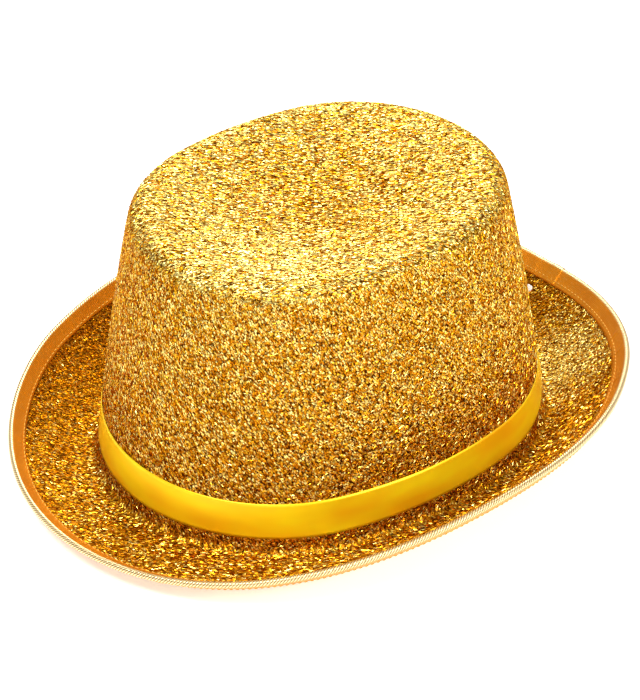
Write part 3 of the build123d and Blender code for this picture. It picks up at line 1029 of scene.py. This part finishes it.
class HAT_OT_brim_binding(bpy.types.Operator):
    """Build the folded tape round the edge of the brim, and the wire in its fold"""

    bl_idname = "party_hat.brim_binding"
    bl_label = "Brim Binding"

    def execute(self, context):
        sizes, colours = context.scene.hat_sizes, context.scene.hat_colours
        self.tape(sizes, colours)
        self.wire(sizes, colours)
        return {"FINISHED"}

    def tape(self, sizes, colours):
        """Tape carried round the brim: upper flap, round fold with slanting ribs, lower flap, and back
        along the inside. Puckers lift the flaps and a lap steps over the tape's own start."""
        rng = np.random.default_rng(11)
        outer = tape_reach(sizes)
        inner = outer - sizes.tape_thickness
        bend = np.linspace(0, np.pi, 13)
        flap = np.linspace(sizes.tape_width, 0.1 * MM, 8)
        back_bend = bend[::-3]
        inward = np.concatenate([
            flap, -outer * np.sin(bend), flap[::-1], flap[::7], -inner * np.sin(back_bend), flap[::-7],
        ])
        lift = np.concatenate([
            np.full(8, outer), outer * np.cos(bend), np.full(8, -outer),
            np.full(2, -inner), inner * np.cos(back_bend), np.full(2, inner),
        ])
        rest = len(inward) - 16 - len(bend)
        facing = np.concatenate([np.ones(8), np.cos(bend), -np.ones(8), np.zeros(rest)])
        bulge = np.concatenate([np.zeros(8), np.sin(bend), np.zeros(8 + rest)])
        angle = TAPE_LAP_ANGLE + np.arange(TAPE_COUNT) * TURN / TAPE_COUNT
        distance = closed_length(brim_surface(sizes, angle, np.zeros_like(angle), np.zeros_like(angle))[0])
        past = distance[:-1]
        pucker = puckers(past, distance[-1], rng)
        lap_start = np.clip(past / (0.3 * MM), 0, 1)
        lap = sizes.tape_thickness * lap_start * np.clip((TAPE_LAP_LENGTH - past) / (3 * MM), 0, 1)
        width = 1 - 0.10 * np.cos(angle)
        strip = np.cumsum(np.hypot(np.diff(inward, prepend=inward[0]), np.diff(lift, prepend=lift[0])))
        slant = np.sin(TURN * (past[None, :] / RIB_PITCH + strip[:, None] / (1.7 * RIB_PITCH)))
        middle = np.clip((inward[:, None] + 1 * MM) / sizes.tape_width, 0, 1)
        swell = facing[:, None] * (pucker * np.sin(np.pi * np.clip(middle * 0.9, 0, 1)) + lap)
        fold = bulge[:, None] * (0.07 * MM * slant + 0.12 * MM + lap)
        centre = -brim_stack(sizes) / 2
        points, normals = brim_surface(
            sizes, angle[None, :], inward[:, None] * width - fold, centre + lift[:, None] + swell
        )
        uv = cloth_map(distance, strip[:, None])
        zones = np.stack([bulge, bulge * 0], axis=-1)
        tape = grid_object("binding_tape", points, uv, zones, closed_rows=True)
        turn_outwards(tape)
        place(tape, tape_material(colours), "gold_tape", "brim_binding")
        flat = (2 * sizes.tape_width + np.pi * outer, float(distance[-1]))

    def wire(self, sizes, colours):
        """Round wire carried round the fold."""
        angle = np.arange(WIRE_COUNT) * TURN / WIRE_COUNT
        turn = np.arange(8)[:, None] * TURN / 8
        radius = sizes.wire_radius
        inward = -WIRE_STANDOFF + radius * np.cos(turn) + 0 * angle
        lift = -brim_stack(sizes) / 2 + radius * np.sin(turn) + 0 * angle
        points, normals = brim_surface(sizes, angle[None, :], inward, lift)
        uv = cloth_map(closed_length(points[0]), turn * radius)
        wire = grid_object("edge_wire", points, uv, closed_rows=True)
        turn_outwards(wire)
        place(wire, wire_material(), "edge_wire", "brim_wire")


class HAT_OT_stitching(bpy.types.Operator):
    """Build the stitches through the binding and those that hold the sweatband"""

    bl_idname = "party_hat.stitching"
    bl_label = "Stitching"

    def execute(self, context):
        sizes, colours = context.scene.hat_sizes, context.scene.hat_colours
        thread = thread_material(colours)
        outer = tape_reach(sizes)
        middle = brim_stack(sizes) / 2
        angle = np.arange(PATH_COUNT) * TURN / PATH_COUNT
        inset = np.full_like(angle, sizes.stitch_inset)
        for name, lift, side in (("needle_stitches", outer, 1.0), ("bobbin_stitches", -outer, -1.0)):
            path, normals = brim_surface(sizes, angle, inset, np.full_like(angle, lift - middle))
            row = thread_row(name, path, normals * side, sizes.stitch_pitch, sizes.thread_radius)
            turn_outwards(row)
            place(row, thread, "gold_thread", "binding_stitching")
        height = np.full_like(angle, SWEAT_LOW[2] + SWEAT_STITCH_HEIGHT)
        reach = crown_reach(sizes, angle, height) - sweat_depth(sizes) - SWEAT_THICKNESS
        path = around(angle, reach, height)
        normals = -around(angle, np.ones_like(angle), np.zeros_like(angle))
        pitch = sizes.stitch_pitch * SWEAT_STITCH_SHARE
        row = thread_row("sweatband_stitches", path, normals, pitch, sizes.thread_radius)
        turn_outwards(row)
        place(row, thread, "gold_thread", "sweatband_stitching")
        return {"FINISHED"}


class HAT_OT_sweatband(bpy.types.Operator):
    """Build the ribbon inside the head opening and the blank label it holds"""

    bl_idname = "party_hat.sweatband"
    bl_label = "Sweatband and Label"

    def execute(self, context):
        sizes, colours = context.scene.hat_sizes, context.scene.hat_colours
        self.ribbon(sizes, colours)
        self.label(sizes, colours)
        return {"FINISHED"}

    def ribbon(self, sizes, colours):
        """Ribbon carried round the inside of the wall, its free upper edge standing off a little."""
        angle = np.arange(ROUND_COUNT) * TURN / ROUND_COUNT
        share = np.linspace(0, 1, 9)[:, None]
        low, high = SWEAT_LOW[2], SWEAT_HIGH[2]
        faces = []
        for across, depth in ((share, 0.0), (share[::-1], SWEAT_THICKNESS)):
            height = low + (high - low) * across + 0 * angle
            free = (0.5 + 0.4 * np.sin(7 * angle + 0.5)) * MM * across**3
            reach = crown_reach(sizes, angle, height) - sweat_depth(sizes) - depth - free
            faces.append(around(angle + 0 * height, reach, height))
        points = np.concatenate(faces, axis=0)
        distance = closed_length(points[0])
        span = np.concatenate([share, share[::-1]]) * (high - low)
        ribbon = grid_object("sweatband_ribbon", points, cloth_map(distance, span), closed_rows=True)
        turn_outwards(ribbon)
        cloth = ribbon_material("sweatband_cloth", colours.sweatband, colours.sweatband_deep, 500.0)
        place(ribbon, cloth, "sweatband_ribbon", "sweatband")

    def label(self, sizes, colours):
        """Blank label: a thin sheet that stands up from behind the sweatband's edge and curls inwards."""
        low, high = LABEL_LOW[2], LABEL_HIGH[2]
        half_width = (LABEL_HIGH[0] - LABEL_LOW[0]) / 2
        across = np.linspace(-1, 1, 13)
        up = np.linspace(0, 1, 21)[:, None]
        height = low + (high - low) * up + 0 * across
        x = half_width * across + 0 * up
        wall = crown_reach(sizes, np.pi, height)
        lean = (0.4 + 2.6 * up**2 + 0.5 * across**2 * up) * MM
        y = wall - sweat_depth(sizes) - SWEAT_THICKNESS - 0.6 * MM - lean - x**2 / (2 * sizes.foot_end_radius)
        front = np.stack([x, y, height], axis=-1)
        back = front + np.array((0.0, LABEL_THICKNESS, 0.0))
        loop = np.concatenate([front, back[:, ::-1]], axis=1)
        label = closed_strip("care_label_blank", loop)
        turn_outwards(label)
        cloth = ribbon_material("label_cloth", colours.label, colours.label_deep, 900.0)
        place(label, cloth, "label_ribbon", "care_label")


class HAT_OT_tag_barb(bpy.types.Operator):
    """Build the small plastic barb left in the brim"""

    bl_idname = "party_hat.tag_barb"
    bl_label = "Tag Barb"

    def execute(self, context):
        colours = context.scene.hat_colours
        centre = (np.array(BARB_LOW) + np.array(BARB_HIGH)) / 2
        half = (np.array(BARB_HIGH) - np.array(BARB_LOW)) / 2
        turn = np.arange(24) * TURN / 24
        rise = np.linspace(-np.pi / 2, np.pi / 2, 13)[:, None]
        x = half[0] * rounded(np.cos(rise)) * rounded(np.cos(turn))
        y = half[1] * rounded(np.cos(rise)) * rounded(np.sin(turn))
        z = 0.6 * MM * rounded(np.sin(rise)) + 0 * turn
        slope = (BARB_HIGH[2] - BARB_LOW[2] - 1.0 * MM) / (2 * half[1])
        points = np.stack([x, y, z + 0.9 * slope * y], axis=-1) + centre + np.array((0, 0, 0.25 * MM))
        barb = grid_object("tag_barb_slug", points, cloth_map(np.arange(25) * MM, rise * MM), pole=True)
        turn_outwards(barb)
        place(barb, plastic_material(colours), "clear_plastic", "tag_barb")
        return {"FINISHED"}


class HAT_OT_stage(bpy.types.Operator):
    """Set the pale floor, the soft lights and the camera"""

    bl_idname = "party_hat.stage"
    bl_label = "Stage"

    def execute(self, context):
        scene = context.scene
        scene.view_settings.view_transform = "Standard"
        self.floor()
        world = bpy.data.worlds.new("studio")
        world.use_nodes = True
        world.node_tree.nodes["Background"].inputs[0].default_value = (1.0, 1.0, 1.0, 1.0)
        world.node_tree.nodes["Background"].inputs[1].default_value = WORLD_LIGHT
        scene.world = world
        for name, azimuth, elevation, distance, size, power in LIGHTS:
            self.light(name, azimuth, elevation, distance, size, power)
        self.camera(scene)
        return {"FINISHED"}

    def floor(self):
        """Plain pale floor."""
        half = 3.0
        corners = np.array([(-half, -half, 0), (half, -half, 0), (half, half, 0), (-half, half, 0)])
        floor = mesh_object("floor", corners, np.array([[0, 1, 2, 3]]), smooth=False)
        graph = Graph("pale_floor")
        values = {"Base Color": (0.9, 0.9, 0.9, 1.0), "Roughness": 0.9, "Specular IOR Level": 0.0}
        values.update({"Emission Color": (1.0, 1.0, 1.0, 1.0), "Emission Strength": FLOOR_LIGHT})
        floor.data.materials.append(graph.finish(values))

    def light(self, name, azimuth, elevation, distance, size, power):
        """Square area light aimed at the middle of the hat."""
        lamp = bpy.data.lights.new(name, "AREA")
        lamp.size = size
        lamp.energy = power
        made = bpy.data.objects.new(name, lamp)
        back = direction(azimuth, elevation)
        made.location = hat_middle() + back * distance
        made.rotation_euler = back.to_track_quat("Z", "Y").to_euler()
        bpy.context.scene.collection.objects.link(made)

    def camera(self, scene):
        """Camera at the view's own azimuth, elevation, distance and roll."""
        lens = bpy.data.cameras.new("view")
        lens.lens = CAMERA_LENS
        lens.clip_start, lens.clip_end = 0.05, 20.0
        back = direction(CAMERA_AZIMUTH, CAMERA_ELEVATION)
        made = bpy.data.objects.new("view", lens)
        turned = back.to_track_quat("Z", "Y").to_matrix()
        roll = Matrix.Rotation(np.radians(CAMERA_ROLL), 3, back)
        turned = roll @ turned
        right, up = turned.col[0], turned.col[1]
        aim = Vector((0, 0, CAMERA_TARGET_HEIGHT)) - right * CAMERA_AIM[0] - up * CAMERA_AIM[1]
        made.matrix_world = Matrix.Translation(aim + back * CAMERA_DISTANCE) @ turned.to_4x4()
        scene.collection.objects.link(made)
        scene.camera = made


class HAT_PT_panel(bpy.types.Panel):
    """Sidebar list of the hat's pieces, sizes and colours"""

    bl_label = "Party Hat"
    bl_idname = "HAT_PT_panel"
    bl_space_type = "VIEW_3D"
    bl_region_type = "UI"
    bl_category = "Party Hat"

    def draw(self, context):
        for operator in PIECE_OPERATORS:
            self.layout.operator(operator.bl_idname)
        for group in (context.scene.hat_sizes, context.scene.hat_colours):
            box = self.layout.box()
            for name in group.__annotations__:
                box.prop(group, name)


PIECE_OPERATORS = (
    HAT_OT_stage, HAT_OT_lurex_cover, HAT_OT_felt_shell, HAT_OT_hat_band, HAT_OT_brim_binding,
    HAT_OT_stitching, HAT_OT_sweatband, HAT_OT_tag_barb,
)
CLASSES = (HatSizes, HatColours, *PIECE_OPERATORS, HAT_PT_panel)


def register():
    """Add the classes to Blender, and the hat's sizes and colours to the scene."""
    for made in CLASSES:
        bpy.utils.register_class(made)
    bpy.types.Scene.hat_sizes = bpy.props.PointerProperty(type=HatSizes)
    bpy.types.Scene.hat_colours = bpy.props.PointerProperty(type=HatColours)


def unregister():
    """Take away what register added."""
    del bpy.types.Scene.hat_colours
    del bpy.types.Scene.hat_sizes
    for made in reversed(CLASSES):
        bpy.utils.unregister_class(made)


def main():
    """Register the add-on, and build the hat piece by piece."""
    register()
    bpy.ops.party_hat.stage()
    bpy.ops.party_hat.lurex_cover()
    bpy.ops.party_hat.felt_shell()
    bpy.ops.party_hat.hat_band()
    bpy.ops.party_hat.brim_binding()
    bpy.ops.party_hat.stitching()
    bpy.ops.party_hat.sweatband()
    bpy.ops.party_hat.tag_barb()


if __name__ == "__main__":
    main()
